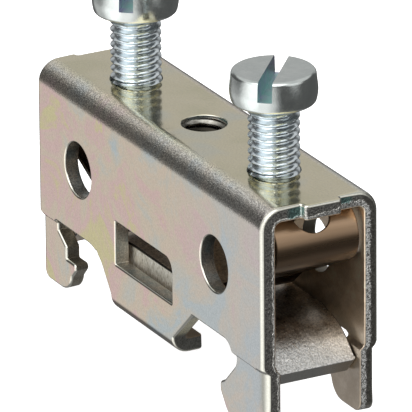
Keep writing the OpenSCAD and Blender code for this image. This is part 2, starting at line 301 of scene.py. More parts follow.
# %% Sizes of the folded body
END_X, SIDE_Y, WEB_Z, SHEET = 23.0, 6.25, 19.2, 1.5
BEND = 2.2                      # outer radius of the long bends
TAB_HALF, TAB_OUT, NICK_IN = 2.0, 0.8, 0.5
SCREW_X, THREAD_HOLE_R = 14.0, 2.55
MIDDLE_R = 2.22                 # the middle hole's wall behind its thread
COLLAR, COLLAR_WALL = 1.4, 0.85
SIDE_HOLE_R, SIDE_HOLE_Z, SIDE_HOLE_SHIFT = 2.75, 10.65, 0.5
SLOT_Z = 3.75                   # upper edge of the rail slots
FOLD_Z, FOLD_R = 0.05, 1.75     # where the tongue folds inward, and its outer radius
FOLD_FLAT = 1.55                # straight length after that fold
HOOKS_FROM = 10.5               # from here to the ends the wall is hook, and between it is tongue
JOGGLE, JOGGLE_H = 0.5, 0.45    # the hooks step inward below a crease
CREASE_CLOSED, CREASE_LATCH = SLOT_Z - 0.15, SLOT_Z - 0.8

EDGE_R, FAR_EDGE_R = 0.26, 0.12  # rounding of the outline on the punch side and the other side
HOLE_EDGE_R, HOLE_FAR_R = 0.2, 0.03  # the same of the holes in the walls
END_EDGE_R, END_ROLL = 0.37, 1.7  # the open ends: depth of the rounding, and its width over that
LATCH_EDGE_R, LATCH_ROLL = 0.52, 3.3  # the same on the latch hooks' outer edges
END_ROLL_LOW = -2.4  # the open ends' rounding stops at this height

FLAT_HALF = SIDE_Y - BEND
BEND_L = BEND * np.pi / 2
WALL_TOP = WEB_Z - BEND
FOLD_DOWN = WALL_TOP - FOLD_Z
FOLD_L = FOLD_R * np.pi / 2
print("body:", 2 * END_X, "mm long,", 2 * SIDE_Y, "mm wide,", WEB_Z, "mm above the rail seat")

# %% Sizes of the plate, the leaves and the screws
PLATE_T, PLATE_Z, PLATE_FLAT = 2.2, 5.2, 16.2  # thickness, height, and half the level length
PLATE_R, PLATE_TURN, PLATE_LIP = 7.0, np.radians(42), 2.0  # the curved ends, and a straight lip after them
PLATE_HALF_W, PLATE_MID, PLATE_WIDE = 4.2, 4.3, 4.57  # half widths at the ends, the middle and the slots
WIDE_FROM, WIDE_TO, SHOULDER = 8.9, 15.1, 1.8  # where it is widest, and the slope on either side

LEAF_T, LEAF_HALF_W, LEAF_START, LEAF_Z = 0.5, 4.4, 9.0, 17.444
ROLL_R, ROLL_X, ROLL_TURN, STRAND_L = 3.05, 19.6, np.radians(154), 10.486
FOOT_TURN, FOOT_L, FOOT_R = np.radians(15), 2.6, 1.2
ROLL_HOLE_R, ROLL_HOLE_AT, COLLAR_HOLE_R = 1.95, np.radians(28), 3.6

PITCH, THREAD_R, CORE_R, SCREW_L, TIP_BEVEL = 0.8, 2.5, 2.05, 12.0, 0.6
HEAD_R, HEAD_BULGE_R, HEAD_BULGE_Z, HEAD_H = 4.02, 4.25, 1.15, 3.2
SLOT_HALF, SLOT_FLOOR, SLOT_TURN = 0.7, 1.3, np.radians(-40)
UNDER_HEAD = 26.1               # height of the heads' undersides
TAP_CORE_R = 1.98               # crests of the thread in the middle hole
print("screws:", 2 * THREAD_R, "mm thread,", SCREW_L, "mm long")

# %% [markdown]
# ## The folded body's blank
# The blank lies flat in (x, s), where s runs round the channel from the middle of the web: negative down
# the near wall, positive down the far wall. The far wall is the near wall turned half round, apart from
# the round holes, which are in line across the channel. So only the near wall's lower edge is written
# out, from the latch hook over the tongue to the closed hook.

# %% Lower edge of one wall
def down_wall(z):
    """Blank coordinate of height z on the near wall: flat half width, bend length, drop from the bend."""
    return -(FLAT_HALF + BEND_L + WALL_TOP - z)


FOLD_END = down_wall(FOLD_Z) - FOLD_L - FOLD_FLAT
TONGUE_FROM, TONGUE_TO = -7.9, 5.0  # ends of the tongue's folded edge
LATCH_DROP, CLOSED_DROP, CORNER_R = 4.35, 3.35, 1.2  # the hooks' lower ends, and their outer corners
LATCH_TIP, SEAT_TIP, SEAT_END = 13.57, -15.7, -18.15  # the latch hook's tip, and the closed hook's seat


def on_wall(rows):
    """Outline rows from (x, z) or (x, z, radius): z becomes the blank coordinate, and no radius means 0."""
    return [(x, down_wall(z), *(radius or (0,))) for x, z, *radius in rows]


def lower_edge():
    """Outline rows (x, s, radius) along the near wall's lower edge, from its +X end to its -X end."""
    latch = [(END_X, -LATCH_DROP, CORNER_R),
             (15.2, -LATCH_DROP, 2.0),  # round the lower end
             (LATCH_TIP, -2.2, 0.9),
             (LATCH_TIP, -1.32, 0.45),
             (14.5, -0.84, 0.5),  # the slope under the rail's edge
             (16.45, 1.1, 0.3)]
    latch += [*arc_points((15.35, 2.2), 1.55, -40, 88)]  # end of the latch slot
    latch += [(8.9, SLOT_Z, 0.3), (TONGUE_TO, FOLD_Z, 0.12)]  # along the slot, down the tongue's slope
    tongue = [(TONGUE_TO, FOLD_END, 0.45), (TONGUE_FROM, FOLD_END, 0.45)]
    closed = [(TONGUE_FROM, FOLD_Z, 0.4), (-9.4, 2.04, 0)]  # the tongue's other slope
    closed += [*arc_points((-12.68, -0.25), 4.0, 37, 88)]  # and its curve into the slot
    closed += [*arc_points((-19.1, 2.95), 0.8, 90, 180)]  # end of the closed slot
    closed += [(-19.9, 2.45, 0.2), (SEAT_END, 1.2, 0.45), (SEAT_END, 0.0, 0.12), (SEAT_TIP, 0.0, 0.45)]
    closed += [*arc_points((-19.35, -1.15), 2.2, 348, 270)]  # the round toe under the seat
    closed += [(-END_X, -CLOSED_DROP, CORNER_R)]
    return on_wall(latch) + tongue + on_wall(closed)


near = np.array(lower_edge())
far = near * [-1, -1, 1]
tab = [(END_X + TAB_OUT, TAB_HALF, 0.4), (END_X + TAB_OUT, -TAB_HALF, 0.4), (END_X, -TAB_HALF, 0.2)]
nick = [(-END_X, -TAB_HALF, 0.36), (-END_X + NICK_IN, -TAB_HALF, 0.12), (-END_X + NICK_IN, TAB_HALF, 0.12),
        (-END_X, TAB_HALF, 0.36)]
outline = rounded(np.vstack([tab, near, nick, far, [(END_X, TAB_HALF, 0.2)]]))
outline = turning(filled(outline), True)

# %% Holes in the blank
WINDOW_X, WINDOW_Z = (-6.8, 4.9), (3.5, 8.0)
low_s, high_s = down_wall(WINDOW_Z[0]), down_wall(WINDOW_Z[1])
window = rounded([(WINDOW_X[0], high_s, 0.12), (WINDOW_X[0], low_s, 0.12), (WINDOW_X[1], low_s, 0.12),
                  (WINDOW_X[1], high_s, 1.3)])  # one corner is rounder than the others
window = turning(filled(window), False)
side_holes = [round_hole(x - SIDE_HOLE_SHIFT, s, SIDE_HOLE_R)
              for x in (-SCREW_X, SCREW_X) for s in (down_wall(SIDE_HOLE_Z), -down_wall(SIDE_HOLE_Z))]
web_holes = [round_hole(-SCREW_X, 0, THREAD_HOLE_R), round_hole(0, 0, MIDDLE_R),
             round_hole(SCREW_X, 0, THREAD_HOLE_R)]
wall_holes = [window, -window, *side_holes]
print("blank:", len(outline), "outline points,", len(wall_holes) + len(web_holes), "holes")

# %% Folding the blank
def fold_body(x, s):
    """Round the channel: flat web, quarter circle, straight wall. Below the crease a hook steps inward by a
    smooth 3t^2 - 2t^3, and the tongue turns inward round a quarter circle. The thickness direction ignores
    the step."""
    side, a = np.sign(s + 1e-12), np.abs(s)
    turn = np.clip((a - FLAT_HALF) / BEND, 0, np.pi / 2)
    down = np.maximum(a - FLAT_HALF - BEND_L, 0)
    y = np.minimum(a, FLAT_HALF) + BEND * np.sin(turn)
    z = WALL_TOP + BEND * np.cos(turn) - down
    tongue = np.abs(x) < HOOKS_FROM
    crease = np.where(x * side > 0, CREASE_CLOSED, CREASE_LATCH)
    t = np.where(tongue, 0, np.clip((crease - z) / JOGGLE_H, 0, 1))
    slope = JOGGLE * 6 * t * (1 - t) / JOGGLE_H
    y = y - JOGGLE * t * t * (3 - 2 * t)
    past = np.where(tongue, np.maximum(down - FOLD_DOWN, 0), 0)
    curl = np.clip(past / FOLD_R, 0, np.pi / 2)
    y = y - FOLD_R * (1 - np.cos(curl)) - np.maximum(past - FOLD_L, 0)
    z = np.where(past > 0, FOLD_Z - FOLD_R * np.sin(curl), z)
    zero = np.zeros_like(x)
    lean = turn + curl
    across = np.column_stack([zero, side * np.sin(lean), np.cos(lean)])
    normal = across - slope[:, None] * np.array([[0, 0, 1.0]])
    normal /= np.linalg.norm(normal, axis=1)[:, None]
    along_x = np.column_stack([zero + 1, zero, zero])
    along_s = np.column_stack([zero, np.cos(lean), -side * np.sin(lean)])
    return np.column_stack([x, side * y, z]), normal, across, along_x, along_s


def bend_rows():
    """Points in rows along every bend and step, and a loose grid over the rest."""
    x = np.arange(-END_X + 0.4, END_X, 0.7)
    bend = FLAT_HALF + np.linspace(0, BEND_L, 12)
    step = -down_wall(np.linspace(SLOT_Z + 0.1, SLOT_Z - 1.35, 15))
    curl = -down_wall(FOLD_Z) + np.linspace(0, FOLD_L, 11)
    web, wall = np.array([0.0, 1.6, 3.0]), -down_wall(np.arange(5.0, 16.5, 1.6))
    hooks = -down_wall(np.array([1.6, 0.6, -0.6, -2.0, -3.2]))
    fold = np.array([-down_wall(FOLD_Z) + FOLD_L + 0.7])
    rows = np.concatenate([bend, step, curl, web, wall, hooks, fold])
    near = np.stack(np.meshgrid(x, -rows), -1).reshape(-1, 2)
    return np.vstack([near, near * [1, -1]])


def collar_profile():
    """Rim of a drawn hole: rounded mouth, a wall that runs below the sheet, a rounded foot, and the outside
    back up to the sheet's underside."""
    foot, edge = SHEET + COLLAR, 0.12
    a = np.radians(np.linspace(0, 90, 5))
    mouth = np.column_stack([edge * (1 - np.sin(a)), edge * (1 - np.cos(a)), a])
    wall = [(0, 1.0, np.pi / 2), (0, 2.0, np.pi / 2), (0, foot - edge, np.pi / 2)]
    low = [(edge, foot, np.pi), (COLLAR_WALL - 0.2, foot, np.pi), (COLLAR_WALL, foot - 0.2, 1.5 * np.pi)]
    up = [(COLLAR_WALL, SHEET + 0.3, 1.5 * np.pi), (COLLAR_WALL + 0.3, SHEET, np.pi)]
    rows = np.vstack([mouth, wall, low, up])
    return rows[:, :1], rows[:, 1:2], rows[:, 2:]


# %% [markdown]
# ## Finishes
# Every metal here is bare plating or bronze, so its colour is a reflectance and its look comes from what it
# mirrors, apart from the painted light named here. The plating on the folded body has a thin yellowish film
# whose tint drifts in soft patches and pales toward the +X end, and it is worn to silver on the rounded
# rims;
# its inner faces are painted a warm dark tan, darker low down, as shade and a warm reflection. The punched
# edges are torn metal: dark, rough, with bright specks, and painted sparkle on the far wall's fracture
# zone;
# the far wall's cut faces are painted dark as shade. The cut thread is dark with oil and painted near black
# deep in its hole as shade. The plate is scuffed above, painted warm tan as a reflection of the channel
# except at its +X lip, with painted shade on its long rims, and striped by the shear along its sides. The
# leaves are painted darker lower down and along their long edges, as shade. A few small functions keep the
# node trees short.

# %% Node helpers
def add_node(tree, kind, values=(), **options):
    """A new node with its options set. Each socket gets a plain value or a link from another node."""
    node = tree.nodes.new(kind)
    for option, value in options.items():
        setattr(node, option, value)
    for socket, value in dict(values).items():
        if isinstance(value, bpy.types.NodeSocket):
            tree.links.new(value, node.inputs[socket])
        else:
            node.inputs[socket].default_value = value
    return node


class Finish:
    """A material with a Principled shader, and short calls that add nodes and join them."""

    def __init__(self, name, **sockets):
        self.material = bpy.data.materials.new(name)
        self.material.use_nodes = True
        self.tree = self.material.node_tree
        self.shader = self.tree.nodes["Principled BSDF"]
        for socket, value in sockets.items():
            self.shader.inputs[socket.replace("_", " ")].default_value = value
        self.place = self.add("ShaderNodeTexCoord").outputs["Object"]
        self.xyz = self.add("ShaderNodeSeparateXYZ", {0: self.place}).outputs
        print("finish:", name)

    def add(self, kind, values=(), **options):
        return add_node(self.tree, kind, values, **options)

    def noise(self, per_mm, detail=2.0, rough=0.5, warp=0.0, stretch=(1, 1, 1), shift=(0, 0, 0)):
        """Noise with per_mm waves in a millimetre, stretched along the axes."""
        scale = tuple(per_mm / MM * v for v in stretch)
        scaled = self.add("ShaderNodeMapping", {"Vector": self.place, "Scale": scale, "Location": shift})
        return self.add("ShaderNodeTexNoise", {"Vector": scaled.outputs[0], "Scale": 1.0, "Detail": detail,
                                               "Roughness": rough, "Distortion": warp}).outputs["Fac"]

    def ramp(self, factor, stops):
        """Colours at positions along the factor, eased between them."""
        node = self.add("ShaderNodeValToRGB", {"Fac": factor})
        node.color_ramp.interpolation = "EASE"
        for spare in list(node.color_ramp.elements)[1:]:
            node.color_ramp.elements.remove(spare)
        for i, (where, colour) in enumerate(stops):
            mark = node.color_ramp.elements[0] if i == 0 else node.color_ramp.elements.new(where)
            mark.position = where
            mark.color = (*colour, 1)
        return node.outputs["Color"]

    def mix(self, factor, a, b, blend="MIX"):
        """Colour a where the factor is 0, and b, or a blended with b, where it is 1."""
        a, b = (c if isinstance(c, bpy.types.NodeSocket) else (*c, 1) for c in (a, b))
        node = self.add("ShaderNodeMix", {0: factor, 6: a, 7: b}, data_type="RGBA", blend_type=blend)
        return node.outputs[2]

    def math(self, operation, a, b=0.0):
        return self.add("ShaderNodeMath", {0: a, 1: b}, operation=operation).outputs[0]

    def plus(self, a, b):
        return self.math("ADD", a, b)

    def times(self, a, b):
        return self.math("MULTIPLY", a, b)

    def span(self, value, low, high, to_low=0.0, to_high=1.0):
        """The value carried from low..high to to_low..to_high, held at the ends."""
        return self.add("ShaderNodeMapRange", {"Value": value, "From Min": low, "From Max": high,
                                               "To Min": to_low, "To Max": to_high}).outputs["Result"]

    def along(self, axis, low, high, *to):
        """A span over the place along X, Y or Z, numbered from 0, in millimetres."""
        return self.span(self.xyz[axis], low * MM, high * MM, *to)

    def away(self, axis, low, high, *to):
        """The same over the distance from the middle."""
        return self.span(self.math("ABSOLUTE", self.xyz[axis]), low * MM, high * MM, *to)

    def mark(self, name):
        """A float mark of the mesh's points."""
        return self.add("ShaderNodeAttribute", attribute_name=name).outputs["Fac"]

    def bump(self, height, distance_mm):
        """Fine relief: the height times the distance, along the normal."""
        node = self.add("ShaderNodeBump", {"Height": height, "Distance": distance_mm * MM, "Strength": 1.0})
        self.join("Normal", node.outputs[0])

    def join(self, socket, value):
        self.tree.links.new(value, self.shader.inputs[socket])


# %% Plating with a yellowish film, on the folded body
film = Finish("zinc_film", Metallic=1.0, Coat_Weight=0.7, Coat_Roughness=0.06, Coat_IOR=1.5)
bend, inner = film.mark("bend"), film.span(film.mark("depth"), 0.85, 0.93)
drift = film.plus(film.span(film.noise(0.12, 4.0, 0.62, 0.8), 0.30, 0.70, 0.05, 0.95),
                  film.along(0, -END_X, END_X, -0.15, 0.15))
straw, pink, tan = (0.77, 0.69, 0.36), (0.82, 0.575, 0.53), (0.78, 0.65, 0.50)
grey, pale_blue, silver = (0.69, 0.655, 0.56), (0.58, 0.655, 0.665), (0.545, 0.54, 0.475)
tint = film.ramp(drift, [(0.10, straw), (0.30, pink), (0.48, tan), (0.66, grey), (0.84, pale_blue)])
paler = film.along(0, 4.0, END_X, 0.0, 0.5)
tint = film.mix(paler, tint, (0.655, 0.672, 0.71))
web_tint = film.ramp(film.noise(0.16, 2.0, 0.5, 0.3, shift=(3, 1, 2)),
                     [(0.32, (0.62, 0.57, 0.36)), (0.52, (0.69, 0.62, 0.42)), (0.70, (0.62, 0.61, 0.49))])
# Painted shade and painted reflection: the inner faces get a warm dark tan, darker low in the channel and
# lighter higher up.
inner_painted_shade = film.ramp(film.noise(0.5, 4.0, 0.6), [(0.3, (0.48, 0.38, 0.27)), (0.7, (0.62, 0.51, 0.39))])
inner_painted_shade = film.mix(1.0, inner_painted_shade, film.along(2, 2.0, 8.0, 0.70, 1.75), "MULTIPLY")
mottle = film.span(film.noise(5.0, 3.0, 0.7), 0.3, 0.7, 0.90, 1.09)
curve_tint = film.mix(film.times(bend, 0.6), tint, (0.66, 0.65, 0.60))
outer_tint = film.mix(film.span(film.mark("wall"), 0.0, 0.35), web_tint, curve_tint)
speckle = film.times(film.span(film.noise(7.0, 2.0, 0.6), 0.36, 0.64, -0.5, 0.5), bend)
outer_tint = film.mix(1.0, outer_tint, film.plus(speckle, 1.0), "MULTIPLY")
outer_tint = film.mix(film.span(film.mark("depth"), 0.0, 0.04), outer_tint, silver)
film.join("Base Color", film.mix(1.0, film.mix(inner, outer_tint, inner_painted_shade), mottle, "MULTIPLY"))
gloss = film.span(film.noise(1.3, 3.0, 0.6), 0.3, 0.7, 0.06, 0.15)
film.join("Roughness", film.plus(gloss, film.span(inner, 0, 1, 0, 0.32)))
grain = film.times(film.noise(8.0, 3.0, 0.65), film.span(bend, 0, 1, 0.03, 0.5))
film.bump(film.plus(grain, film.times(film.noise(0.35, 2.0), 0.5)), 0.06)

# %% Torn metal of the punched edges
torn = Finish("zinc_cut_edge", Metallic=1.0)
speck, streak = torn.noise(4.0, 3.0, 0.7), torn.noise(1.6, 4.0, 0.7)
late = torn.plus(torn.span(streak, 0.3, 0.7, -0.10, 0.10), torn.along(1, -2, 2, -0.16, 0.10))
at_ends = torn.away(0, END_X - 0.8, END_X - 0.3)
break_zone = torn.times(torn.span(torn.plus(torn.mark("depth"), late), 0.62, 0.70), at_ends)
grit = torn.span(torn.noise(6.5, 2.0, 0.6), 0.36, 0.64, -0.45, 0.45)
grit = torn.plus(torn.times(grit, torn.span(at_ends, 0, 1, 0.6, 1.0)), 1.0)
sheared = torn.ramp(torn.noise(0.45, 3.0, 0.6), [(0.36, (0.34, 0.39, 0.385)), (0.50, (0.46, 0.45, 0.41)),
                                                 (0.64, (0.52, 0.47, 0.40))])
beside_tab = torn.times(torn.away(1, TAB_HALF - 0.1, TAB_HALF + 0.2),
                        torn.away(1, TAB_HALF + 1.6, TAB_HALF + 1.1))
tab_film = torn.times(beside_tab, torn.along(2, WALL_TOP, WALL_TOP + 0.6, 0, 0.7))
at_hook = torn.away(0, HOOKS_FROM + 0.5, HOOKS_FROM + 1.5)
fold_cut = torn.mix(torn.along(2, 0.7, 0.1), (0.66, 0.63, 0.48), (0.26, 0.26, 0.24))
low_cut = torn.mix(at_hook, fold_cut, (0.28, 0.26, 0.215))
sheared = torn.mix(torn.along(2, SLOT_Z - 0.3, SLOT_Z - 0.85), sheared, low_cut)
sheared = torn.mix(at_ends, sheared, (0.41, 0.40, 0.37))
sheared = torn.mix(1.0, torn.mix(tab_film, sheared, (0.16, 0.38, 0.36)), grit, "MULTIPLY")
broken = torn.ramp(speck, [(0.40, (0.23, 0.225, 0.21)), (0.62, (0.60, 0.595, 0.57))])
# Painted shade: the far wall's cut faces are painted dark, less at the open ends and in the fracture zone.
far_wall_painted_shade = torn.along(1, SIDE_Y - SHEET - 0.3, SIDE_Y - SHEET)
edge_tint = torn.mix(break_zone, sheared, broken)
# Painted sparkle: only on the far wall, the fracture zone gets near-white specks.
far_side = torn.along(1, 3.5, 4.6)
far_painted_glints = torn.ramp(speck, [(0.36, (0.20, 0.19, 0.17)), (0.54, (0.95, 0.95, 0.92))])
edge_tint = torn.mix(torn.times(far_side, break_zone), edge_tint, far_painted_glints)
half_break = torn.times(break_zone, 0.5)
far_wall_painted_shade = torn.times(far_wall_painted_shade, torn.math("SUBTRACT", torn.span(at_ends, 0, 1, 0.92, 0.5), half_break))
torn.join("Base Color", torn.mix(far_wall_painted_shade, edge_tint, (0.10, 0.085, 0.06)))
torn.join("Roughness", torn.span(at_ends, 0, 1, 0.42, 0.26))
torn.bump(torn.times(speck, torn.plus(torn.span(at_ends, 0, 1, 0.06, 0.2), half_break)), 0.22)

# %% Scuffed plating of the pressure plate
scuffed = Finish("plate_zinc", Metallic=1.0)
scuff, pit = scuffed.noise(1.1, 5.0, 0.7), scuffed.noise(3.2, 3.0, 0.6)
worn = scuffed.ramp(scuff, [(0.3, (0.43, 0.43, 0.42)), (0.5, (0.50, 0.50, 0.485)),
                            (0.7, (0.60, 0.60, 0.59))])
# Painted reflection: everywhere but its +X lip the plate is painted a warm tan, the channel's dark inside
# mirrored.
inside_painted_reflection = scuffed.ramp(scuff, [(0.3, (0.56, 0.48, 0.39)), (0.7, (0.74, 0.67, 0.57))])
worn = scuffed.mix(scuffed.along(0, 18.6, 20.6), inside_painted_reflection, worn)
grain = scuffed.span(scuffed.noise(5.5, 2.0, 0.6), 0.36, 0.64, 0.72, 1.28)
worn = scuffed.mix(1.0, worn, grain, "MULTIPLY")
worn = scuffed.mix(scuffed.span(pit, 0.66, 0.71), worn, (0.95, 0.95, 0.93))
# Painted shade: the rims and underside along the long sides are near black, as in the gaps beside the
# walls.
rim_painted_shade = scuffed.times(scuffed.span(scuffed.mark("depth"), 0.0, 0.01),
                       scuffed.away(1, PLATE_HALF_W - 0.4, PLATE_HALF_W - 0.2))
scuffed.join("Base Color", scuffed.mix(rim_painted_shade, worn, (0.04, 0.035, 0.03)))
scuffed.join("Roughness", scuffed.span(scuff, 0.3, 0.7, 0.26, 0.42))
scuffed.bump(scuffed.plus(scuffed.noise(4.0, 4.0, 0.7), pit), 0.035)

# %% Sheared sides of the pressure plate
striped = Finish("plate_cut_edge", Metallic=1.0)
line = striped.noise(5.0, 3.0, 0.6, stretch=(1, 1, 0.5))
side = striped.away(1, PLATE_HALF_W - 0.3, PLATE_HALF_W - 0.1)
bare = striped.ramp(line, [(0.32, (0.55, 0.52, 0.43)), (0.50, (0.80, 0.77, 0.68)),
                           (0.66, (0.95, 0.94, 0.88))])
striped.join("Base Color", striped.mix(side, (0.24, 0.235, 0.22), bare))
striped.join("Roughness", striped.span(side, 0, 1, 0.3, 0.5))
striped.bump(line, 0.08)

# %% Bronze of the leaves
bronze = Finish("leaf_bronze", Metallic=1.0)
drawn = bronze.noise(0.9, 3.0, 0.6, stretch=(1, 0.08, 1))
# Painted shade: the bronze is darker lower down.
lower_painted_shade = bronze.along(2, 12.3, 16.4, 0.26, 1.0)  # darkest under the roll
# Painted shade along the leaves' long edges, beside the walls.
edge_painted_shade = bronze.away(1, LEAF_HALF_W - 0.15, LEAF_HALF_W - 0.07, 1.0, 0.3)
clean = bronze.ramp(drawn, [(0.3, (0.305, 0.205, 0.125)), (0.7, (0.355, 0.245, 0.16))])
bronze.join("Base Color", bronze.mix(1.0, clean, bronze.times(lower_painted_shade, edge_painted_shade), "MULTIPLY"))
bronze.join("Roughness", bronze.span(drawn, 0.3, 0.7, 0.26, 0.31))
bronze.bump(bronze.noise(3.0, 3.0, 0.6, stretch=(1, 0.1, 1)), 0.004)

# %% Bright zinc of the screws, with a blue film in the slot
bright = Finish("screw_zinc", Metallic=1.0)
cloud = bright.noise(0.8, 3.0, 0.6)
shank_tint = bright.ramp(cloud, [(0.3, (0.60, 0.665, 0.70)), (0.7, (0.69, 0.745, 0.77))])
head_tint = bright.ramp(cloud, [(0.3, (0.56, 0.60, 0.585)), (0.7, (0.625, 0.66, 0.64))])
on_head = bright.along(2, UNDER_HEAD - 0.2, UNDER_HEAD + 0.2)
bright.join("Base Color", bright.mix(on_head, shank_tint, head_tint))
bright.join("Roughness", bright.span(bright.noise(2.0, 3.0, 0.6), 0.3, 0.7, 0.14, 0.24))
bright.bump(bright.noise(3.5, 3.0, 0.6), 0.008)
blued = Finish("slot_zinc", Metallic=1.0)
green_blue, blue, violet = (0.34, 0.62, 0.58), (0.44, 0.60, 0.62), (0.46, 0.46, 0.64)
hue = blued.ramp(blued.noise(0.5, 3.0, 0.6), [(0.35, green_blue), (0.50, blue), (0.65, violet)])
blued.join("Base Color", hue)
blued.join("Roughness", blued.span(blued.noise(3.0, 4.0, 0.7), 0.3, 0.7, 0.25, 0.45))
blued.bump(blued.noise(4.0, 4.0, 0.7), 0.03)

# %% Metal of a cut thread, dark with oil, and painted near black deep in the hole as shade
tapped = Finish("tapped_zinc", Metallic=1.0)
oil = tapped.noise(1.5, 4.0, 0.6)
# Painted shade: deep in the hole the thread is near black.
deep = tapped.along(2, WEB_Z - 1.3, WEB_Z - 0.5)
oiled = tapped.ramp(oil, [(0.3, (0.22, 0.21, 0.18)), (0.7, (0.42, 0.41, 0.37))])
tapped.join("Base Color", tapped.mix(deep, (0.02, 0.018, 0.014), oiled))
tapped.join("Roughness", tapped.span(oil, 0.3, 0.7, 0.2, 0.35))

# %% The folded body
# The rounding grows along the open ends, from clear of the tab down to END_ROLL_LOW, as a running mean of
# nine points. It grows again on the latch hooks below their crease.
x, s = outline.T
along_end = (np.abs(s) > TAB_HALF + 2.0) & (np.abs(s) < -down_wall(END_ROLL_LOW))
at_end = np.clip((np.abs(x) - END_X + 0.02) / 0.01, 0, 1) * along_end
at_end = np.convolve(np.concatenate([at_end[-4:], at_end, at_end[:4]]), np.ones(9) / 9, "valid")
at_latch = at_end * (x * s < 0) * (np.abs(s) > -down_wall(CREASE_LATCH))
at_latch = (np.roll(at_latch, 1) + 2 * at_latch + np.roll(at_latch, -1)) / 4
roll_over = 1 + (END_ROLL - 1) * at_end + (LATCH_ROLL - END_ROLL) * at_latch
edge_r = EDGE_R + (END_EDGE_R - EDGE_R) * at_end + (LATCH_EDGE_R - END_EDGE_R) * at_latch
rims = [rim_profile(SHEET, edge_r, FAR_EDGE_R, roll_over=roll_over)]
rims += [rim_profile(SHEET, HOLE_EDGE_R, HOLE_FAR_R)] * len(wall_holes)
rims += [collar_profile()] * len(web_holes)
shell = folded_sheet([outline, *wall_holes, *web_holes], rims, fold_body, bend_rows(), 0.15)
arc_share = np.clip((np.abs(shell["flat"][:, 1]) - FLAT_HALF) / BEND_L, 0, 1)
body = add_mesh("clamp_shell", shell["verts"], shell["faces"], [film.material, torn.material],
                shell["kind"], shell["normals"], depth=shell["depth"],
                wall=arc_share, bend=np.sin(np.pi * arc_share) ** 0.5)
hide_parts("clamp_body")
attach(body, "body")

# %% [markdown]
# ## Pressure plate and leaves
# Both are straight strips bent about lines along Y, so one fold does for both: level, then round an arc,
# then straight on. The blank's first coordinate runs along the strip and the second is Y.

# %% A strip bent in one plane
def strip_path(x0, z0, pieces):
    """Fold for a strip whose outer surface starts level at (x0, z0) and follows pieces of (length, turn in
    radians). Along a piece the heading a grows evenly, so with the bend k = turn / length the way gone is
    (sin(a + k s) - sin(a)) / k along X and (cos(a + k s) - cos(a)) / k along Z.
    A negative length means the same shape on the other side of x = 0."""
    def fold(l, y):
        side, left = np.sign(l + 1e-12), np.abs(l)
        x, z, a = np.full_like(left, x0), np.full_like(left, z0), np.zeros_like(left)
        for i, (length, turn) in enumerate(pieces):
            s = left if i == len(pieces) - 1 else np.clip(left, 0, length)
            if turn:
                k = turn / length
                x = x + (np.sin(a + k * s) - np.sin(a)) / k
                z = z + (np.cos(a + k * s) - np.cos(a)) / k
                a = a + k * s
            else:
                x, z = x + s * np.cos(a), z - s * np.sin(a)
            left = np.maximum(left - length, 0)
        zero = np.zeros_like(l)
        normal = np.column_stack([side * np.sin(a), zero, np.cos(a)])
        along_l = np.column_stack([np.cos(a), zero, -side * np.sin(a)])
        along_y = np.column_stack([zero, zero + 1, zero])
        return np.column_stack([side * x, y, z]), normal, normal, along_l, along_y
    return fold


def strip_rows(low, high, half_width, fine):
    """Rows of points across a strip, every millimetre along it and closer inside the fine stretches."""
    rows = [np.arange(low, high, 1.0)] + [np.arange(a, b, 0.3) for a, b in fine]
    across = np.linspace(-half_width + 0.5, half_width - 0.5, 8)
    return np.stack(np.meshgrid(np.unique(np.concatenate(rows).round(2)), across), -1).reshape(-1, 2)


# %% Pressure plate
plate_bend = (PLATE_FLAT, PLATE_FLAT + PLATE_R * PLATE_TURN)
plate_end = plate_bend[1] + PLATE_LIP
half = np.array([(plate_end, -PLATE_HALF_W, 0.35), (plate_end, PLATE_HALF_W, 0.35),
                 (WIDE_TO + SHOULDER, PLATE_HALF_W, 0.4), (WIDE_TO, PLATE_WIDE, 0.4),
                 (WIDE_FROM, PLATE_WIDE, 0.4), (WIDE_FROM - SHOULDER, PLATE_MID, 0.4)])
blank = turning(filled(rounded(np.vstack([half, half * [-1, -1, 1]]))), True)
plate_path = strip_path(0, PLATE_Z, [(PLATE_FLAT, 0), (PLATE_R * PLATE_TURN, PLATE_TURN), (PLATE_LIP, 0)])
plate_rows = strip_rows(-plate_end, plate_end, PLATE_HALF_W, [plate_bend, (-plate_bend[1], -plate_bend[0])])
plate_edge = np.where(np.abs(blank[:, 0]) > plate_end - 0.3, 0.06, 0.18)  # crisp ends, rounder sides
sheet = folded_sheet([blank], [rim_profile(PLATE_T, plate_edge, 0.03, 0.0)], plate_path, plate_rows)
plate = add_mesh("pressure_plate", sheet["verts"], sheet["faces"], [scuffed.material, striped.material],
                 sheet["kind"], sheet["normals"], depth=sheet["depth"])
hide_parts("saddle")
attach(plate, "saddle")

# %% Leaves
roll = (ROLL_X - LEAF_START, ROLL_X - LEAF_START + ROLL_R * ROLL_TURN)
kink = FOOT_R * FOOT_TURN
leaf_end = roll[1] + STRAND_L + FOOT_L
foot = (roll[1] + STRAND_L - kink / 2, roll[1] + STRAND_L + kink / 2)
leaf_path = strip_path(LEAF_START, LEAF_Z, [(roll[0], 0), (roll[1] - roll[0], ROLL_TURN),
                                            (foot[0] - roll[1], 0), (kink, -FOOT_TURN),
                                            (leaf_end - foot[1], 0)])
blank = rounded([(0, -LEAF_HALF_W, 0.5), (leaf_end, -LEAF_HALF_W, 0.3), (leaf_end, LEAF_HALF_W, 0.3),
                 (0, LEAF_HALF_W, 0.5)])
blank = turning(filled(blank), True)
holes = [round_hole(SCREW_X - LEAF_START, 0, COLLAR_HOLE_R),
         round_hole(roll[0] + ROLL_R * ROLL_HOLE_AT, 0, ROLL_HOLE_R)]
sheet = folded_sheet([blank, *holes], [rim_profile(LEAF_T, 0.1, 0.06, 0.01)] * 3, leaf_path,
                     strip_rows(0, leaf_end, LEAF_HALF_W, [roll, (foot[0] - 0.2, foot[1] + 0.2)]))
half_turn = np.array([-1, -1, 1])
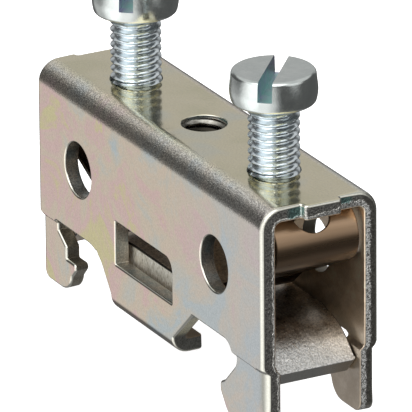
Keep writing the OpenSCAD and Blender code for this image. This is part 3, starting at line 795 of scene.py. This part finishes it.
for name, node, turned in (("leaf_spring_right", "leaf_right", 1),
                           ("leaf_spring_left", "leaf_left", half_turn)):
    piece = add_mesh(name, sheet["verts"] * turned, sheet["faces"], [bronze.material],
                     normals=sheet["normals"] * turned)
    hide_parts(node)
    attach(piece, "body")

# %% [markdown]
# ## Screws
# A cheese-head screw is turned and its thread is rolled, so the crests are rounded. The shank is a grid
# over angle and height whose radius follows the height minus the pitch share of the angle. The head is the
# same kind of grid, and above the slot's floor it goes on as two lobes, whose ends follow the slot's walls.

# %% Grids and welding
def grid_faces(rows, columns, closed=False):
    """Quads between neighbouring points of a grid, counter-clockwise for columns to the right, rows up."""
    index = np.arange(rows * columns).reshape(rows, columns)
    if closed:
        index = np.column_stack([index, index[:, 0]])
    return np.stack([index[:-1, :-1], index[:-1, 1:], index[1:, 1:], index[1:, :-1]], 2).reshape(-1, 4)


def weld(grids):
    """One set of points, faces and finish numbers from (points, faces, finish) rows; points closer than a
    tenth of a micrometre become one."""
    points = np.vstack([p for p, _, _ in grids])
    base = np.cumsum([0] + [len(p) for p, _, _ in grids])
    faces = np.vstack([f + b for (_, f, _), b in zip(grids, base)])
    kind = np.concatenate([np.full(len(f), k) for _, f, k in grids])
    _, first, which = np.unique(np.round(points, 4), axis=0, return_index=True, return_inverse=True)
    faces = which.reshape(-1)[faces]
    lists = [list(dict.fromkeys(f)) for f in faces.tolist()]
    whole = np.array([len(f) > 2 for f in lists])
    return points[first], [f for f in lists if len(f) > 2], kind[whole]


# %% One screw, upright, with the underside of its head at z = 0
LOBE, MOUTH = 43, 7             # points along a lobe, and across a mouth of the slot


def ring_angles(radius):
    """Angles round a ring of this radius: along a lobe, across a slot mouth, along the other lobe, back."""
    a = np.arcsin(SLOT_HALF / radius)
    return np.concatenate([np.linspace(a, np.pi - a, LOBE), np.linspace(np.pi - a, np.pi + a, MOUTH)[1:-1],
                           np.linspace(np.pi + a, 2 * np.pi - a, LOBE), np.linspace(-a, a, MOUTH)[1:-1]])


def thread_radius(angle, z, outer, inner):
    """Radius of a thread: outer to inner and back, once for each pitch of height less the angle's share."""
    share = (z / PITCH - angle / (2 * np.pi)) % 1.0
    return outer - (outer - inner) * (0.5 - 0.5 * np.cos(2 * np.pi * share)) ** 0.8


def polar(radius, angle, z):
    """Points (radius cos angle, radius sin angle, z)."""
    radius, angle, z = np.broadcast_arrays(radius, angle, z)
    return np.stack([radius * np.cos(angle), radius * np.sin(angle), z], -1).reshape(-1, 3)


def screw_grids():
    """Rows (points, faces, finish) of one screw: the shank, its tip, the head below the slot's floor, then
    for each lobe its side, top and slot wall, and last the slot's floor."""
    side = rounded([(2.0, 0, 0), (HEAD_R, 0, 0.45), (HEAD_BULGE_R, HEAD_BULGE_Z, 3.0),
                    (HEAD_R, HEAD_H, 0.42), (2.0, HEAD_H, 0)])[1:-1]
    floor_r = np.interp(SLOT_FLOOR, side[:, 1], side[:, 0])
    low = np.vstack([side[side[:, 1] < SLOT_FLOOR - 0.02], [(floor_r, SLOT_FLOOR)]])
    high = np.vstack([[(floor_r, SLOT_FLOOR)], side[side[:, 1] > SLOT_FLOOR + 0.02]])
    around = ring_angles(floor_r)
    z = np.linspace(-SCREW_L, 0, int(SCREW_L / PITCH * 12) + 1)[:, None]
    thread = thread_radius(around[None], z, THREAD_R, CORE_R)
    thread = np.minimum(thread, THREAD_R - TIP_BEVEL + np.maximum(z + SCREW_L, 0))
    thread = thread + (CORE_R - thread) * np.clip(1 + z / 0.5, 0, 1)
    grids = [(polar(thread, around[None], z), grid_faces(len(z), len(around), True), 0)]
    tip = polar(thread[:1] * np.linspace(0.02, 1, 4)[:, None], around[None], -SCREW_L)
    grids.append((tip, grid_faces(4, len(around), True), 0))
    under = np.column_stack([np.linspace(CORE_R, low[0, 0], 4)[:-1], np.zeros(3)])
    shoulder = np.vstack([under, low])
    shoulder_points = polar(shoulder[:, :1], around[None], shoulder[:, 1:])
    grids.append((shoulder_points, grid_faces(len(shoulder), len(around), True), 0))
    reach = np.arcsin(SLOT_HALF / high[:, 0])
    along = np.linspace(0, 1, LOBE)
    for start in (0, np.pi):
        angle = start + reach[:, None] + (np.pi - 2 * reach[:, None]) * along
        grids.append((polar(high[:, :1], angle, high[:, 1:]), grid_faces(len(high), LOBE), 0))
        top = polar(high[-1, 0], angle[-1], HEAD_H).reshape(1, -1, 3)
        chord = top.copy()
        chord[..., 1] = np.cos(start) * SLOT_HALF
        share = np.linspace(0, 1, 5)[:, None, None]
        grids.append(((top * (1 - share) + chord * share).reshape(-1, 3), grid_faces(5, LOBE), 0))
        half = np.sqrt(high[:, :1] ** 2 - SLOT_HALF ** 2)
        half = half * np.cos(angle[-1])[None] / np.cos(angle[-1, 0]) * np.cos(start)
        level = np.broadcast_to(high[:, 1:], half.shape)
        wall = np.stack([half, np.full_like(half, np.cos(start) * SLOT_HALF), level], -1)
        grids.append((wall.reshape(-1, 3), grid_faces(len(high), LOBE)[:, ::-1], 1))
    mouth = np.linspace(-np.arcsin(SLOT_HALF / floor_r), np.arcsin(SLOT_HALF / floor_r), MOUTH)[:, None]
    across = np.cos(np.linspace(reach[0], np.pi - reach[0], LOBE))[None] / np.cos(reach[0])
    floor = np.stack([-floor_r * np.cos(mouth) * across, floor_r * np.sin(mouth) + 0 * across,
                      np.full((MOUTH, LOBE), SLOT_FLOOR)], -1)
    grids.append((floor.reshape(-1, 3), grid_faces(MOUTH, LOBE), 1))
    return grids


points, faces, kind = weld(screw_grids())
c, s = np.cos(SLOT_TURN), np.sin(SLOT_TURN)
points = points @ np.array([[c, -s, 0], [s, c, 0], [0, 0, 1]]).T
for name, node, x in (("screw_right_turned", "screw_right", SCREW_X),
                      ("screw_left_turned", "screw_left", -SCREW_X)):
    piece = add_mesh(name, points + [x, 0, UNDER_HEAD], faces, [bright.material, blued.material], kind,
                     sharp=32)
    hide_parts(node)
    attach(piece, node)

# %% Thread in the empty middle hole
angle = np.linspace(0, 2 * np.pi, 73)[None, :-1]
z = np.linspace(WEB_Z - SHEET - COLLAR + 0.15, WEB_Z - 0.25, 40)[:, None]
tap_r = thread_radius(angle, z, MIDDLE_R, TAP_CORE_R)
ends = np.clip(np.minimum(z - z[0], z[-1] - z) / 0.35, 0, 1)
tap_r = MIDDLE_R + 0.01 + (tap_r - MIDDLE_R - 0.01) * ends
tap_faces = grid_faces(len(z), angle.size, True)[:, ::-1].tolist()
tap = add_mesh("middle_tapping", polar(tap_r, angle, z), tap_faces, [tapped.material])
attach(tap, "body")

# %% [markdown]
# ## Studio
# The metal shows what stands round it. It mirrors a bright table on the left, a bright backdrop behind and
# a soft box overhead, with a narrow box on the right and a dim floor straight below. The world carries
# these as soft areas by direction. The pale floor is plain.

# %% World
CAMERA_AZ, CAMERA_EL, CAMERA_ROLL = 1.0854166, 0.3780502, -0.0087582  # radians
world = bpy.data.worlds.new("studio")
bpy.context.scene.world = world
world.use_nodes = True
sky = world.node_tree
for spare in list(sky.nodes):
    sky.nodes.remove(spare)
way = add_node(sky, "ShaderNodeTexCoord").outputs["Generated"]
to_camera = (np.sin(CAMERA_AZ), -np.cos(CAMERA_AZ), 0.0)
to_right = (np.cos(CAMERA_AZ), np.sin(CAMERA_AZ), 0.0)


def toward(direction):
    """How far the way looked points in a direction: their dot product."""
    return add_node(sky, "ShaderNodeVectorMath", {0: way, 1: direction},
                    operation="DOT_PRODUCT").outputs["Value"]


def eased(value, low, high):
    """0 at low and 1 at high, smooth between them."""
    return add_node(sky, "ShaderNodeMapRange", {"Value": value, "From Min": low, "From Max": high},
                    interpolation_type="SMOOTHSTEP").outputs["Result"]


def combined(operation, first, *others):
    """The values joined one after another by the operation."""
    for other in others:
        first = add_node(sky, "ShaderNodeMath", {0: first, 1: other}, operation=operation).outputs[0]
    return first


up, front, right = toward((0, 0, 1)), toward(to_camera), toward(to_right)


def soft_area(turn, height, inner, outer, strength):
    """A soft round area of light: turn in degrees to the right of the camera, height above the horizon, and
    the angles from its middle at which it is still full and at which it has faded."""
    t, h, full, faded = np.radians([turn, height, inner, outer])
    level = np.cos(t) * np.array(to_camera) + np.sin(t) * np.array(to_right)
    middle = np.cos(h) * level + [0, 0, np.sin(h)]
    return combined("MULTIPLY", eased(toward(tuple(middle)), np.cos(faded), np.cos(full)), strength)


DIM = 0.12                      # the room where nothing bright stands
ceiling = combined("MULTIPLY", eased(up, 0.47, 0.54), 0.76)
backdrop = combined("MULTIPLY", eased(front, -0.70, -0.90), eased(up, -0.1, 0.1), 0.55)
table = combined("MULTIPLY", eased(up, -0.05, -0.38), eased(right, -0.45, -0.70), 0.66)
ground = combined("MULTIPLY", eased(up, -0.64, -0.80), 0.34)
room = combined("MAXIMUM", ceiling, backdrop, table, ground, DIM)
key = soft_area(-15, 56, 20, 44, 1.7)
left_box = soft_area(-52, 25, 20, 42, 0.8)
low_left = soft_area(-42, -20, 20, 60, 1.2)
right_box = soft_area(58, 18, 8, 30, 0.9)
glow = combined("ADD", room, key, left_box, low_left, right_box)
light = add_node(sky, "ShaderNodeBackground", {"Color": (1, 1, 1, 1), "Strength": glow})
plain_white = add_node(sky, "ShaderNodeBackground", {"Color": (1, 1, 1, 1), "Strength": 1.0})
seen = add_node(sky, "ShaderNodeLightPath").outputs["Is Camera Ray"]
shown = add_node(sky, "ShaderNodeMixShader", {0: seen, 1: light.outputs[0], 2: plain_white.outputs[0]})
add_node(sky, "ShaderNodeOutputWorld", {"Surface": shown.outputs[0]})
print("world:", len(sky.nodes), "nodes")

# %% Floor
FLOOR_HALF = 1500.0             # far past the picture's edges
pale = Finish("floor_pale", Base_Color=(0.8, 0.8, 0.8, 1), Emission_Color=(1, 1, 1, 1),
              Emission_Strength=0.85)
corners = np.array([(-1, -1), (1, -1), (1, 1), (-1, 1)]) * FLOOR_HALF
floor_z = np.full(len(corners), cad_low[2] / MM)
floor = add_mesh("floor", np.column_stack([corners, floor_z]), [[0, 1, 2, 3]], [pale.material])
floor.visible_glossy = False

# %% Camera at the photograph's viewing angle
AIM_Z, DISTANCE = 7.15, 862.5   # the camera looks at this height on the centre line, from so far away
SENSOR, PICTURE, LENS_PX = 36.0, 412, 9000.0  # sensor width, and picture width and focal length in pixels
OFF_RIGHT, OFF_UP = 0.7466, 34.44  # the picture's middle lies this many pixels off that line
ahead = -np.cos(CAMERA_EL) * np.array(to_camera) - [0, 0, np.sin(CAMERA_EL)]
level = np.array(to_right)
above = np.cross(level, ahead)
c, s = np.cos(CAMERA_ROLL), np.sin(CAMERA_ROLL)
level, above = c * level + s * above, c * above - s * level
eye = np.array([0, 0, AIM_Z]) - ahead * DISTANCE
axis = ahead + (OFF_RIGHT / LENS_PX) * level + (OFF_UP / LENS_PX) * above
axis /= np.linalg.norm(axis)
level = np.cross(axis, above) / np.linalg.norm(np.cross(axis, above))
above = np.cross(level, axis)
lens = bpy.data.cameras.new("camera")
lens.sensor_width = SENSOR
lens.lens = SENSOR * LENS_PX / PICTURE
camera = bpy.data.objects.new("camera", lens)
camera.matrix_world = Matrix([*np.column_stack([level, above, -axis, eye * MM]).tolist(), [0, 0, 0, 1]])
bpy.context.scene.collection.objects.link(camera)
bpy.context.scene.camera = camera
bpy.context.scene.view_settings.view_transform = "Standard"
print("camera:", round(lens.lens), "mm lens,", DISTANCE, "mm away")
